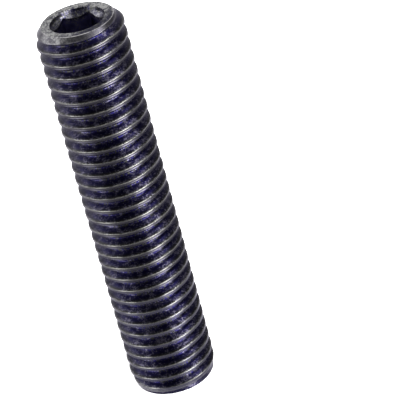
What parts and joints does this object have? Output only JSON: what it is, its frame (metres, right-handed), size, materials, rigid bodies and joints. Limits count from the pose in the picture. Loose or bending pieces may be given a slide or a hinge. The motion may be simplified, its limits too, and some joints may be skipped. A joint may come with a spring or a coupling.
{
  "type": "socket set screw",
  "caption": "Long headless set screw with a right-hand thread over its whole length, a hexagon socket in its upper end and a plain flat point at its lower end.",
  "frame": {"origin": "middle of the flat point face, the lowest face of the standing screw", "axes": "+Z along the screw from the point to the socket face; +X through a corner of the hexagon"},
  "size_m": [0.0098, 0.0098, 0.046],
  "materials": {
    "black_steel": "black oxide over steel, satin to glossy"
  },
  "bodies": {
    "root": {"set_screw": "black_steel"}
  },
  "joints": []
}
